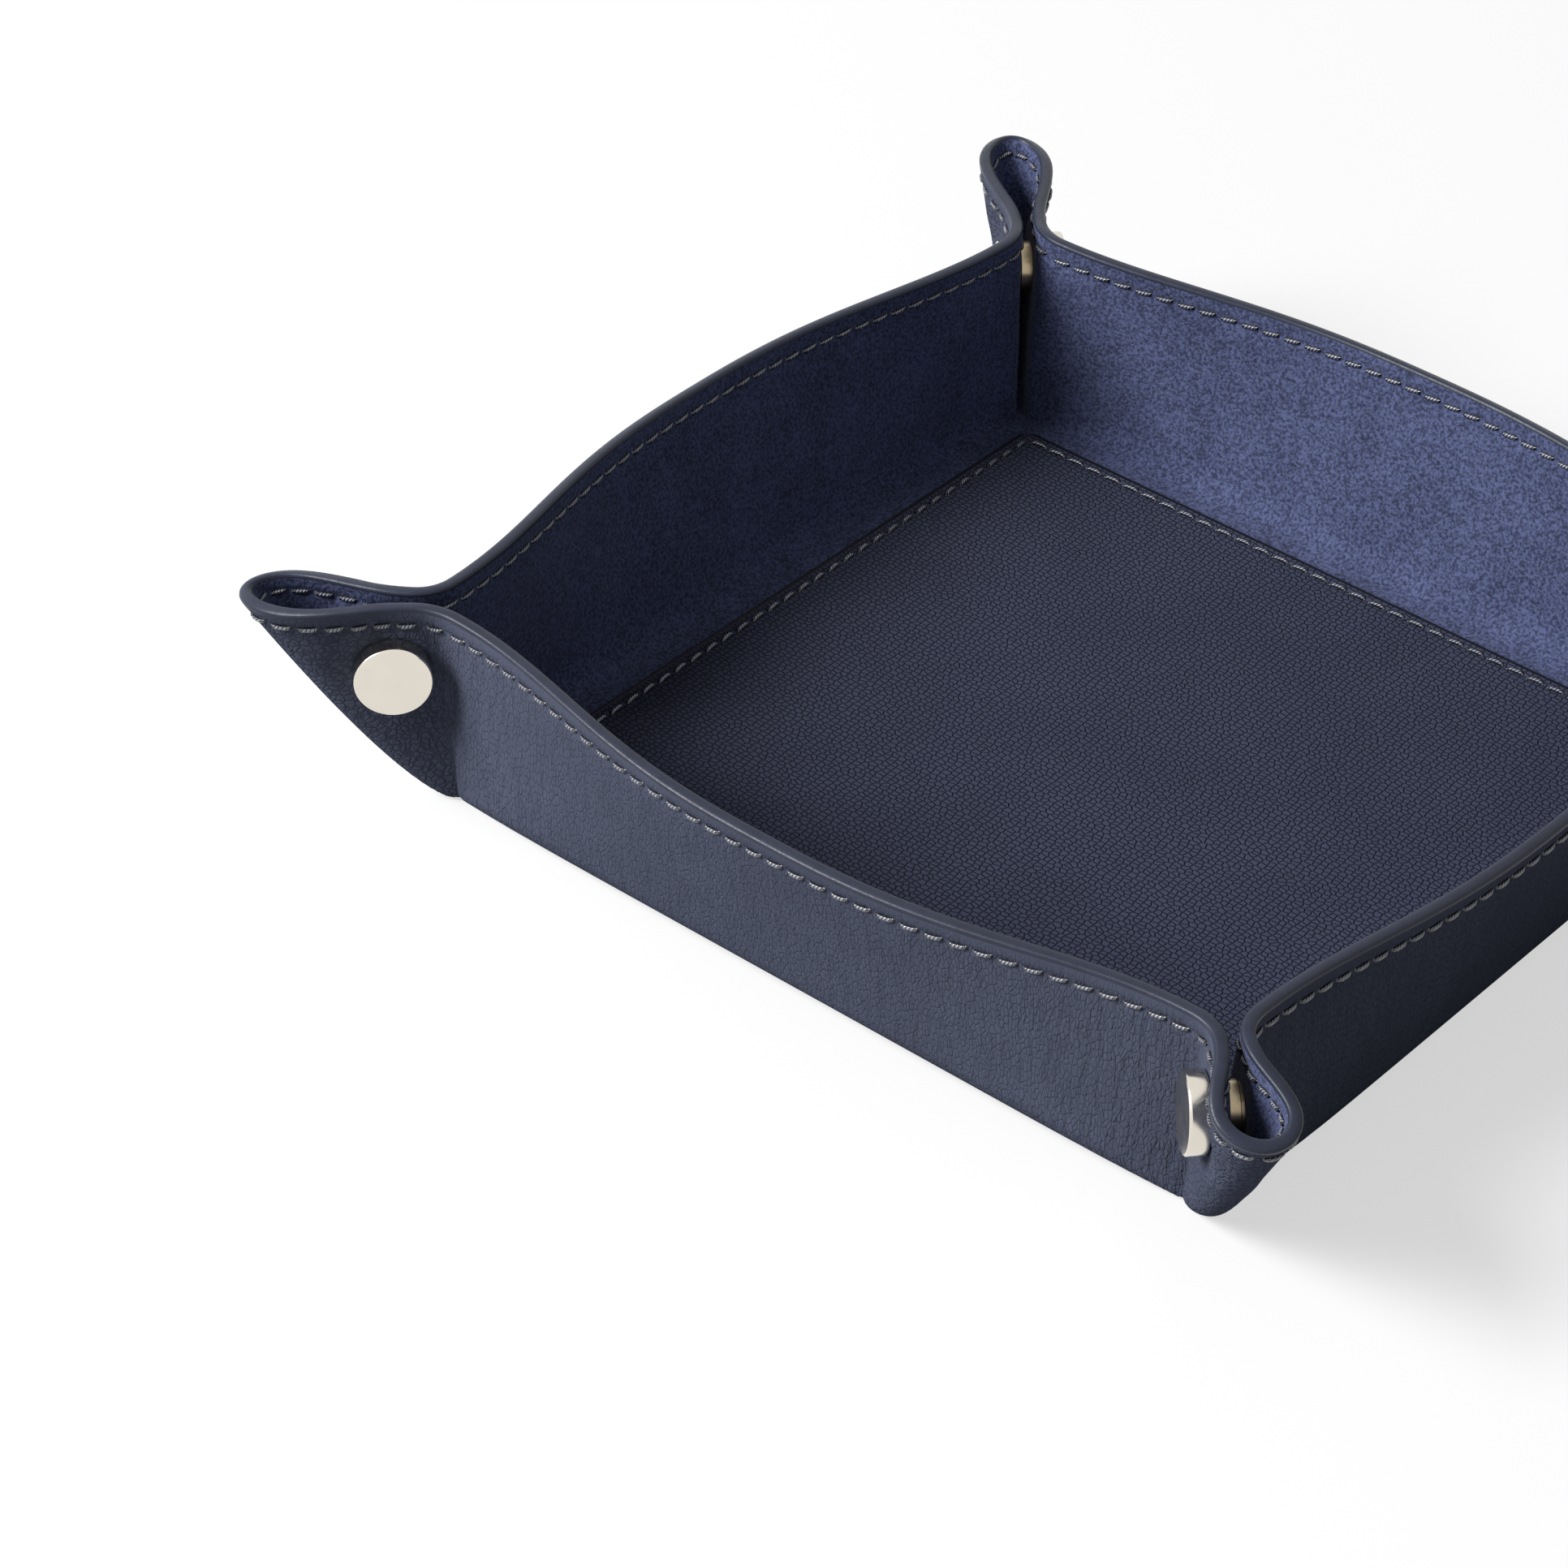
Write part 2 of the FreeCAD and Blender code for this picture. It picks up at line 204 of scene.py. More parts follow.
class TrayStage(bpy.types.PropertyGroup):
    """Camera and light of the studio."""
    camera_place: FloatVectorProperty(
        name="Camera", description="Place of the camera", default=(0.366911, -0.554006, 0.489654),
        subtype="TRANSLATION", precision=6)
    camera_turn: FloatVectorProperty(
        name="Camera turn", description="Turn of the camera", subtype="EULER", precision=6,
        default=tuple(math.radians(angle) for angle in (53.22934, -2.49323, 39.62237)))
    camera_lens: number("Lens", "Focal length on a sensor 36 mm wide", 121.928, "CAMERA")
    key_direction: FloatVectorProperty(
        name="Key direction", description="Direction from the tray to the key light", subtype="DIRECTION",
        default=(-0.53, -0.62, 0.58))
    key_distance: number("Key distance", "Distance of the key light", 2.5, "LENGTH")
    key_size: number("Key size", "Side of the key light", 1.15, "LENGTH")
    key_power: number("Key power", "Power of the key light", 91.0, "POWER")
    fill: number("Fill", "Strength of the even light from all round", 0.20)
    floor_size: number("Floor", "Half width of the floor", 8.0, "LENGTH")


def settings():
    """The scene's sizes, finishes and stage."""
    scene = bpy.context.scene
    return scene.tray_sizes, scene.tray_finish, scene.tray_stage


def tray_form():
    """Sizes of the sheet with those that follow from them."""
    sizes = settings()[0]
    form = SimpleNamespace(**{name: getattr(sizes, name) for name in TraySizes.__annotations__})
    form.corner_half = form.base_half + form.corner_spread
    form.foot_height = form.leather_thick
    form.foot_along = form.corner_half - form.foot_half_gap * HALF_ROOT
    form.foot_out = form.corner_half + form.foot_half_gap * HALF_ROOT
    pinch_along = form.corner_half + (form.pinch_reach - form.pinch_half_gap) * HALF_ROOT
    pinch_out = form.corner_half + (form.pinch_reach + form.pinch_half_gap) * HALF_ROOT
    form.rim_end_along = pinch_along - form.bend_radius * HALF_ROOT
    form.rim_end_out = pinch_out - form.bend_radius * (1 - HALF_ROOT)
    form.panel_half = form.base_half - form.panel_margin
    form.panel_low = form.leather_thick + form.lining_thick
    return form


def ease(share):
    """Smooth step from 0 to 1."""
    share = np.clip(share, 0, 1)
    return share * share * (3 - 2 * share)


def unit(vectors):
    """Vectors scaled to length 1."""
    return vectors / np.maximum(np.linalg.norm(vectors, axis=-1, keepdims=True), TINY)


def mix(low, high, share):
    """Value between two others."""
    return low + (high - low) * share


def signed_power(values, power):
    """Power of the size of each value, with its sign kept."""
    return np.copysign(np.abs(values) ** power, values)


def spin(angle):
    """Matrix that turns rows of points about the upright axis."""
    cosine, sine = math.cos(angle), math.sin(angle)
    return np.array([[cosine, sine, 0], [-sine, cosine, 0], [0, 0, 1]])


def travelled(points):
    """Distance from the first point of a line to each of its points, along the line."""
    return np.concatenate([[0], np.cumsum(np.linalg.norm(np.diff(points, axis=0), axis=-1))])


def corner_face(form, course, rise):
    """Pinched corner in the back wall's axes; course 0 to 1 is the near half, 1 to 2 the far half mirrored.

    The rim runs through an eighth of a circle, a side that widens smoothly, and half an ellipse at the tip.
    Lines join it to a small round foot, with reach and gap growing as powers of the rise, so that the ear is
    full below its tip, and about the snap the gap is drawn to the snap's own.
    """
    far = np.where(course > 1, -1.0, 1.0)
    course = 1 - np.abs(1 - course)
    bend = math.pi / 4 * np.clip(course / BEND_SHARE, 0, 1)
    along = form.rim_end_along + form.bend_radius * np.sin(bend) - form.corner_half
    out = form.rim_end_out + form.bend_radius * (1 - np.cos(bend)) - form.corner_half
    side = np.clip((course - BEND_SHARE) / SIDE_SHARE, 0, 1)
    end_share = 1 - BEND_SHARE - SIDE_SHARE
    turn = math.pi / 2 * np.clip((course - BEND_SHARE - SIDE_SHARE) / end_share, 0, 1)
    end_start = form.ear_reach - form.ear_end_length
    parts = [course < BEND_SHARE, course < BEND_SHARE + SIDE_SHARE]
    rim_reach = np.select(
        parts, [(along + out) * HALF_ROOT, mix(form.pinch_reach, end_start, side)],
        end_start + form.ear_end_length * np.sin(turn))
    rim_gap = np.select(
        parts, [(out - along) * HALF_ROOT, mix(form.pinch_half_gap, form.ear_half_width, ease(side))],
        form.ear_half_width * np.cos(turn))
    rim_height = mix(form.rim_end_height, form.rim_tip_height, ease(course))
    foot_reach = form.foot_reach * np.minimum(course / (BEND_SHARE + SIDE_SHARE), 1)
    foot_reach = foot_reach + form.foot_half_gap * np.sin(turn)
    foot_gap = form.foot_half_gap * np.cos(turn)
    tip = form.ear_end_length * np.sin(turn)
    reach = mix(foot_reach, rim_reach - tip, rise ** (1 - EAR_BULGE * ease(course))) + tip * rise
    gap = mix(foot_gap, rim_gap, rise ** (1 + FLARE_POWER * ease(course / BEND_SHARE)))
    height = mix(form.foot_height, rim_height, rise)
    distance = np.hypot(reach - form.snap_reach, height - form.snap_height)
    held = 1 - ease((distance - form.snap_flat_radius) / form.snap_fade_length)
    held = held * ease(course / BEND_SHARE) * ease((gap / form.snap_half_gap - HOLD_START) / (HOLD_FULL - HOLD_START))
    gap = far * mix(gap, form.snap_half_gap, held)
    return np.stack([form.corner_half + (reach - gap) * HALF_ROOT,
                     form.corner_half + (reach + gap) * HALF_ROOT, height], axis=-1)


def wall_face(form, lean, reach, rise):
    """Right half of a wall in the back wall's axes; reach 0 is its middle and 1 its end.

    The fold line bows out to the corner by a high power of the reach and the rim by a cosine. In the plane
    from fold to rim the profile is an arc that turns up from the flat base and then a straight line.
    """
    corner = reach ** CORNER_SHARPNESS
    bow = (1 - np.cos(math.pi * reach ** BOW_POWER)) / 2
    foot_x = form.foot_along * reach
    foot_y = mix(form.base_half, form.foot_out, corner)
    run_x = form.rim_end_along * reach - foot_x
    run_y = mix(form.base_half + lean, form.rim_end_out, bow) - foot_y
    climb = mix(form.rim_mid_height, form.rim_end_height, bow) - form.foot_height
    run = np.hypot(run_x, run_y)
    radius = form.fold_radius * (1 - corner)
    slant = np.hypot(run, climb - radius)
    angle = np.arctan2(climb - radius, run) + np.arcsin(radius / slant)
    arc = np.maximum(radius * angle, SHORT)
    travel = rise * (arc + np.sqrt(slant ** 2 - radius ** 2))
    turned = np.minimum(travel / arc, 1) * angle
    beyond = np.maximum(travel - arc, 0)
    forward = (radius * np.sin(turned) + beyond * np.cos(angle)) / run
    upward = radius * (1 - np.cos(turned)) + beyond * np.sin(angle)
    return np.stack([foot_x + run_x * forward, foot_y + run_y * forward, form.foot_height + upward], axis=-1)


class Sheet:
    """Formed sheet of one wall with its two corners, in the tray's axes.

    Station runs along the rim: -1 to 1 is the wall, 1 to 2 and 2 to 3 the near and far half of the corner at
    its right-hand end, and the negative stations the corner at its left-hand end. Rise runs from the fold to
    the rim. Depth is measured along the normal, positive to the outside.
    """

    def __init__(self, form, wall):
        self.form = form
        self.lean = form.right_lean if wall == "right" else form.lean
        self.turn = spin(math.radians(WALL_TURNS[wall]))
        self.table = np.linspace(-3, 3, TABLE_STATIONS)
        rises = np.linspace(0, 1, TABLE_RISES)
        points = self.middle(self.table[:, None], rises[None, :])
        self.slants = np.linalg.norm(np.diff(points, axis=1), axis=-1).sum(axis=1)
        self.travels = travelled(points[:, TRAVEL_ROW])

    def middle(self, station, rise):
        """Face between leather and lining."""
        station, rise = np.broadcast_arrays(np.asarray(station, float), np.asarray(rise, float))
        reach = np.abs(station)
        wall = wall_face(self.form, self.lean, np.minimum(reach, 1), rise)
        corner = corner_face(self.form, np.clip(reach - 1, 0, 2), rise)
        points = np.where((reach <= 1)[..., None], wall, corner)
        points[..., 0] *= np.where(station < 0, -1, 1)
        return points @ self.turn

    def slant(self, station):
        """Length of the sheet from fold to rim at a station."""
        return np.interp(station, self.table, self.slants)

    def slopes(self, station, rise):
        """Direction up the sheet and outward normal of the face between the layers."""
        rise = np.maximum(rise, LOWEST_RISE)
        across = self.middle(station + SLOPE_STEP, rise) - self.middle(station - SLOPE_STEP, rise)
        up = unit(self.middle(station, rise + SLOPE_STEP) - self.middle(station, rise - SLOPE_STEP))
        return up, unit(-np.cross(unit(across), up))

    def face(self, station, rise, depth):
        """Points and outward normals of the sheet at a depth, a number or a function of station and rise.

        The normal of the face between the layers is tipped by the slope of the depth up the sheet.
        """
        up, normal = self.slopes(station, rise)
        if not callable(depth):
            return self.middle(station, rise) + normal * depth, normal
        lift = depth(station, rise + SLOPE_STEP) - depth(station, rise - SLOPE_STEP)
        slope = lift / (2 * SLOPE_STEP * self.slant(station))
        points = self.middle(station, rise) + normal * depth(station, rise)[..., None]
        return points, unit(normal - up * slope[..., None])

    def top_rise(self, station):
        """Rise at which the sheet ends under its painted edge."""
        return 1 - self.form.edge_height / self.slant(station)

    def row_rise(self, station):
        """Rise of the rim stitching."""
        return 1 - self.form.stitch_drop / self.slant(station)

    def furrow(self, thick):
        """Depth function of a face with the furrow of the stitching, a bell curve across the row."""
        form = self.form

        def depth(station, rise):
            off = (rise - self.row_rise(station)) * self.slant(station) / form.groove_width
            return thick - math.copysign(form.groove_depth, thick) * np.exp(-off * off)
        return depth

    def grid(self, region):
        """Stations and rises of a stretch: close where its cuts leave the tip and over the stitching, few above it."""
        rim = rim_stations(region)
        row, top = self.row_rise(rim)[:, None], self.top_rise(rim)[:, None]
        band = 2 * self.form.groove_width / self.slant(rim)[:, None]
        foot = np.linspace(0, 1, FOOT_RISES) ** 2
        lower = np.linspace(0, 1, LOWER_RISES) ** 2
        middle = np.linspace(-1, 1, ROW_RISES)
        upper = np.linspace(0, 1, TOP_RISES)
        rises = np.concatenate([
            mix(region.lowest[:, None], region.knee, foot[None]),
            mix(region.knee, row - band, lower[None, 1:]), row + middle[None, 1:] * band,
            mix(row + band, top, upper[None, 1:])], axis=1)
        return region.station(region.shares[:, None], rises), rises

    def fold(self, side):
        """Point where the folds of a corner meet, and the direction across the fold between the wall and its ear."""
        form = self.form
        centre = np.array([side * form.hinge_half, form.hinge_half, form.hinge_height]) @ self.turn
        axis = unit(self.middle(side * (1 + BEND_SHARE / 2), 1) - centre)
        across = self.middle(side * (1 + BEND_SHARE), 1) - self.middle(side, 1)
        return centre, unit(across - axis * (across @ axis))

    def cut(self, side, offset):
        """Station by rise at which the near half of a corner lies at an offset across that fold.

        It is looked up in a table of the half; where no point lies so far out, it is the tip. With it comes the
        rise below which that is so.
        """
        centre, across = self.fold(side)
        rises, stations = np.linspace(0, 1, CUT_RISES), np.linspace(1, 2, CUT_STATIONS)
        offsets = (self.middle(side * stations[:, None], rises[None]) - centre) @ across
        offsets = np.maximum.accumulate(offsets, axis=0)
        after = np.clip((offsets < offset).sum(axis=0), 1, len(stations) - 1)
        column = np.arange(len(rises))
        low, high = offsets[after - 1, column], offsets[after, column]
        share = np.clip((offset - low) / np.maximum(high - low, SHORT), 0, 1)
        found = stations[after - 1] + share * (stations[1] - stations[0])
        lowest = np.interp(offset, offsets[-1], rises)
        return (lambda rise: np.interp(rise, rises, found)), lowest


def cells(grid, up_first=False):
    """Four corners of each cell of a grid, in order along its row first, or up its column first."""
    low, high = grid[:-1], grid[1:]
    corners = [low[:, :-1], low[:, 1:], high[:, 1:], high[:, :-1]]
    return np.stack([corners[0], *corners[:0:-1]] if up_first else corners, axis=2)


def grid_faces(rows, columns, first=0, flip=False):
    """Quads of a grid of points numbered row by row."""
    quads = cells(first + np.arange(rows * columns).reshape(rows, columns), up_first=True).reshape(-1, 4)
    return quads[:, ::-1] if flip else quads


def tube_grid(rings, sides):
    """Numbers of a tube's points, ring by ring, with each ring closed."""
    index = np.arange(rings * sides).reshape(rings, sides)
    return np.concatenate([index, index[:, :1]], axis=1)


def side_faces(rim, count):
    """Quads between a closed line of point numbers and the same line further on in the numbers."""
    after = np.roll(rim, -1)
    return np.stack([rim, after, after + count, rim + count], axis=-1)


def add_object(name, data):
    """New object in the scene."""
    made = bpy.data.objects.new(name, data)
    bpy.context.scene.collection.objects.link(made)
    return made


def add_piece(name, points, blocks, material, maps=None):
    """Mesh object from points and blocks of faces with their corner normals, and a UV map where one is given."""
    mesh = bpy.data.meshes.new(name)
    sizes = np.concatenate([np.full(len(faces), faces.shape[1]) for faces, _ in blocks])
    corners = np.concatenate([faces.ravel() for faces, _ in blocks])
    normals = np.concatenate([np.asarray(normal).reshape(-1, 3) for _, normal in blocks])
    mesh.vertices.add(len(points))
    mesh.vertices.foreach_set("co", np.asarray(points, np.float32).ravel())
    mesh.loops.add(len(corners))
    mesh.loops.foreach_set("vertex_index", corners.astype(np.int32))
    mesh.polygons.add(len(sizes))
    mesh.polygons.foreach_set("loop_start", np.concatenate([[0], np.cumsum(sizes)[:-1]]).astype(np.int32))
    mesh.update(calc_edges=True)
    mesh.polygons.foreach_set("use_smooth", np.ones(len(sizes), bool))
    if maps is not None:
        mesh.uv_layers.new(name="thread").data.foreach_set("uv", np.asarray(maps, np.float32).ravel())
    mesh.normals_split_custom_set(normals.tolist())
    mesh.materials.append(material)
    return add_object(name, mesh)


def flat_normals(points, faces):
    """One normal for all corners of each quad."""
    normal = unit(np.cross(points[faces[:, 2]] - points[faces[:, 0]], points[faces[:, 3]] - points[faces[:, 1]]))
    return np.repeat(normal[:, None], faces.shape[1], axis=1)


def shell(outer, outer_normal, inner, inner_normal):
    """Closed shell between two grids of points whose normals point away from each other."""
    rows, columns = outer.shape[:2]
    count = rows * columns
    points = np.concatenate([outer.reshape(-1, 3), inner.reshape(-1, 3)])
    normals = np.concatenate([outer_normal.reshape(-1, 3), inner_normal.reshape(-1, 3)])
    faces = (grid_faces(rows, columns, flip=True), grid_faces(rows, columns, count))
    blocks = [(quads, normals[quads]) for quads in faces]
    index = np.arange(count).reshape(rows, columns)
    rim = np.concatenate([index[:-1, 0], index[-1, :-1], index[:0:-1, -1], index[0, :0:-1]])
    sides = side_faces(rim, count)
    blocks.append((sides, flat_normals(points, sides)))
    return points, blocks


def sheet_layer(name, region, depths, material):
    """One layer of a stretch of the sheet between two depths, furrowed by the stitching on the face that shows."""
    sheet = region.sheet
    station, rise = sheet.grid(region)
    points, normal = sheet.face(station, rise, sheet.furrow(depths[1]))
    hidden, hidden_normal = sheet.face(station, rise, depths[0])
    if depths[1] > 0:
        piece = add_piece(name, *shell(points, normal, hidden, -hidden_normal), material)
    else:
        piece = add_piece(name, *shell(hidden, hidden_normal, points, -normal), material)
    slant, reach = sheet.slant(station), np.abs(station)
    place = np.stack([np.interp(station, sheet.table, sheet.travels), rise * slant, np.zeros_like(rise)], axis=-1)
    carried = {"below_rim": (1 - rise) * slant, "gathered": ease((reach - GATHER_START) / GATHER_SPAN),
               "eared": ease((reach - EAR_START) / EAR_SPAN), "sheet_place": place}
    for key, values in carried.items():
        kind, field = ("FLOAT", "value") if values.ndim == 2 else ("FLOAT_VECTOR", "vector")
        values = np.tile(values.ravel(), 2).astype(np.float32)
        piece.data.attributes.new(key, kind, "POINT").data.foreach_set(field, values)
    return piece


def sheet_edge(name, sheet, stations, material):
    """Painted edge: a squared oval carried along the rim, full above and flat below."""
    form = sheet.form
    rise = sheet.top_rise(stations)
    middle = sheet.middle(stations, rise)
    up, normal = sheet.slopes(stations, rise)
    half = (form.leather_thick + form.lining_thick) / 2
    centre = middle + normal * (form.leather_thick - form.lining_thick) / 2
    angle = np.linspace(0, 2 * math.pi, EDGE_POINTS + 1)
    flat, tall = np.cos(angle), np.sin(angle)
    height = np.where(tall > 0, form.edge_height, form.edge_height / EDGE_FLATNESS)
    wide = half * signed_power(flat, EDGE_POWER)
    high = height * signed_power(tall, EDGE_POWER)
    ring = centre[:, None] + normal[:, None] * wide[:, None] + up[:, None] * high[:, None]
    slope_wide = signed_power(flat, 2 - EDGE_POWER) / half
    slope_high = signed_power(tall, 2 - EDGE_POWER) / height
    facing = unit(normal[:, None] * slope_wide[:, None] + up[:, None] * slope_high[:, None])
    index = tube_grid(len(stations), EDGE_POINTS)
    quads = cells(index).reshape(-1, 4)
    normals = facing[:, :-1].reshape(-1, 3)
    ends = np.stack([index[0, -2::-1], index[-1, :-1]])
    along = unit(np.stack([centre[0] - centre[1], centre[-1] - centre[-2]]))
    blocks = [(quads, normals[quads]), (ends, np.repeat(along[:, None], EDGE_POINTS, axis=1))]
    return add_piece(name, ring[:, :-1].reshape(-1, 3), blocks, material)


def stitch_places(length, form):
    """Distances of the stitches' rings along a row, one line for each stitch."""
    count = max(round(length / form.stitch_pitch), 1)
    share = np.linspace(-0.5, 0.5, STITCH_RINGS + 2)
    return (np.arange(count)[:, None] + 0.5) * length / count + share[None, :] * form.stitch_length, share


def thread_piece(name, centre, along, outward, form, material):
    """Row of stitches: a round profile along each centre line, thickest in the middle and sunk at both ends."""
    count, rings = centre.shape[:2]
    share = np.linspace(-1, 1, rings)
    sunk = form.thread_radius * (THREAD_LIFT - THREAD_SINK * share ** SINK_POWER)
    thick = form.thread_radius * np.sqrt(np.maximum(1 - share ** TAPER_POWER, 0.0))
    side = unit(np.cross(outward, along))
    angle = np.linspace(0, 2 * math.pi, STITCH_SIDES + 1)
    around = side[:, :, None] * THREAD_WIDE * np.cos(angle)[:, None]
    around = around + outward[:, :, None] * THREAD_HIGH * np.sin(angle)[:, None]
    line = centre + outward * sunk[:, None]
    body = line[:, 1:-1, None] + around[:, 1:-1] * thick[1:-1, None, None]
    size = (rings - 2) * STITCH_SIDES + 2
    points = np.concatenate([body[:, :, :-1].reshape(count, -1, 3), line[:, :1], line[:, -1:]], axis=1)
    facing = unit(around[:, 1:-1, :-1]).reshape(count, -1, 3)
    facing = np.concatenate([facing, -along[:, :1], along[:, -1:]], axis=1).reshape(-1, 3)
    wrapped = tube_grid(rings - 2, STITCH_SIDES)
    quads = cells(wrapped).reshape(-1, 4)
    first = np.stack([wrapped[0, 1:], wrapped[0, :-1], np.full(STITCH_SIDES, size - 2)], axis=-1)
    last = np.stack([wrapped[-1, :-1], wrapped[-1, 1:], np.full(STITCH_SIDES, size - 1)], axis=-1)
    step = (np.arange(count) * size)[:, None, None]
    quads, first, last = ((step + faces[None]).reshape(-1, faces.shape[1]) for faces in (quads, first, last))
    blocks = [(faces, facing[faces]) for faces in (quads, first, last)]
    u, v = np.meshgrid(share[1:-1], np.arange(STITCH_SIDES + 1) / STITCH_SIDES, indexing="ij")
    uv = np.stack([u, v], axis=-1)
    quad_uv = cells(uv).reshape(-1, 2)
    first_uv = np.stack([uv[0, 1:], uv[0, :-1], uv[0, :-1]], axis=-2).reshape(-1, 2)
    last_uv = np.stack([uv[-1, :-1], uv[-1, 1:], uv[-1, 1:]], axis=-2).reshape(-1, 2)
    maps = np.concatenate([np.tile(part, (count, 1)) for part in (quad_uv, first_uv, last_uv)])
    return add_piece(name, points.reshape(-1, 3), blocks, material, maps)


def sheet_stitches(name, sheet, limits, depth, material):
    """Stitches of the rim between two stations, on the face at a depth."""
    form = sheet.form
    fine = np.linspace(*limits, ROW_SAMPLES)
    travel = travelled(sheet.middle(fine, sheet.row_rise(fine)))
    places, share = stitch_places(travel[-1], form)
    stations = np.interp(places, travel, fine)
    slant = math.copysign(form.stitch_slant, -depth)
    rises = sheet.row_rise(stations) + share[None, :] * slant / sheet.slant(stations)
    points, normal = sheet.face(stations, rises, sheet.furrow(depth))
    along = unit(np.gradient(points, axis=1))
    return thread_piece(name, points, along, normal * math.copysign(1, depth), form, material)


def wall_stretch(sheet, wall, offset):
    """Wall from the base to its rim, with the feet of the ears at both ends up to the folds."""
    (left, _), (right, knee) = sheet.cut(-1, offset), sheet.cut(1, offset)

    def station(share, rise):
        end = np.where(share < 0, left(rise), right(rise))
        beyond = np.clip((np.abs(share) - CORE_SHARE) / (1 - CORE_SHARE), 0, 1)
        return np.copysign(np.minimum(np.abs(share) / CORE_SHARE, 1) + beyond * (end - 1), share)
    shares = np.linspace(-1, 1, WALL_STATIONS)
    return SimpleNamespace(
        name=f"{wall}_wall", kind="wall", sheet=sheet, bodies=("base", f"{wall}_wall"), nodes=[f"{wall}_wall"],
        shares=shares, station=station, lowest=np.zeros(WALL_STATIONS), knee=knee,
        turn=(sheet.middle(0, 0), sheet.middle(0, FOLD_RISE)))


def bend_stretch(sheet, wall, end, side, width):
    """Bend from a wall into its ear, between two cuts on either side of the fold."""
    (start, lowest), (stop, knee) = sheet.cut(side, -width), sheet.cut(side, width)

    def station(share, rise):
        return side * mix(start(rise), stop(rise), share)
    centre, across = sheet.fold(side)
    return SimpleNamespace(
        name=f"{wall}_{end}_bend", kind="bend", sheet=sheet, bodies=(f"{wall}_wall", f"{wall}_{end}_ear"), nodes=[],
        shares=np.linspace(0, 1, BEND_STATIONS)[::side], station=station, lowest=np.full(BEND_STATIONS, lowest),
        knee=knee, turn=(centre - across * width, centre + across * width))


def loop_stretch(sheet, wall, end, side, width):
    """Loop of two ears, from the bend on the near half to the fold on the far half, turning at its tip."""
    form = sheet.form
    (start, near_lowest), (stop, far_lowest) = sheet.cut(side, width), sheet.cut(side, 0)

    def station(share, rise):
        return side * (2 + share * (2 - np.where(share < 0, start(rise), stop(rise))))
    shares = signed_power(np.linspace(-1, 1, LOOP_STATIONS)[::side], TIP_CROWDING)
    inside = form.pinch_half_gap - form.lining_thick
    tip = sheet.middle(side * 2, 0.5)
    off = np.array([-side * inside, inside, 0]) * HALF_ROOT @ sheet.turn
    ears = [f"{wall}_{end}_ear", f"{end}_{wall}_ear"]
    return SimpleNamespace(
        name=f"{wall}_{end}_loop", kind="loop", sheet=sheet, bodies=tuple(ears), nodes=ears, shares=shares,
        station=station, lowest=np.where(shares < 0, near_lowest, far_lowest), knee=2 * near_lowest,
        turn=(tip + off, tip - off))


def regions(form):
    """Stretches of the sheet: four walls, four bends into the first ears, and four loops of two ears.

    Each has its sheet, the stations of its rows by rise, their lowest rises and the rise of their knee, the two
    bodies that it runs between and the points where its turn starts and ends.
    """
    found = []
    walls = list(WALL_TURNS)
    for place, wall in enumerate(walls):
        sheet = Sheet(form, wall)
        bent = wall in ("front", "back")
        found.append(wall_stretch(sheet, wall, -form.bend_half if bent else 0.0))
        for side in (-1, 1) if bent else ():
            end = walls[(place + side) % len(walls)]
            found.append(bend_stretch(sheet, wall, end, side, form.bend_half))
            found.append(loop_stretch(sheet, wall, end, side, form.bend_half))
    return found


def rim_stations(region):
    """Stations of a stretch along the rim."""
    return region.station(region.shares, np.ones(len(region.shares)))


def carry(piece, region, rim=False):
    """Attach the rim pieces of a wall to the wall's body, and bake every other piece in place."""
    if region.kind == "wall" and rim:
        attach(piece, region.bodies[1])
    else:
        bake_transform(piece)


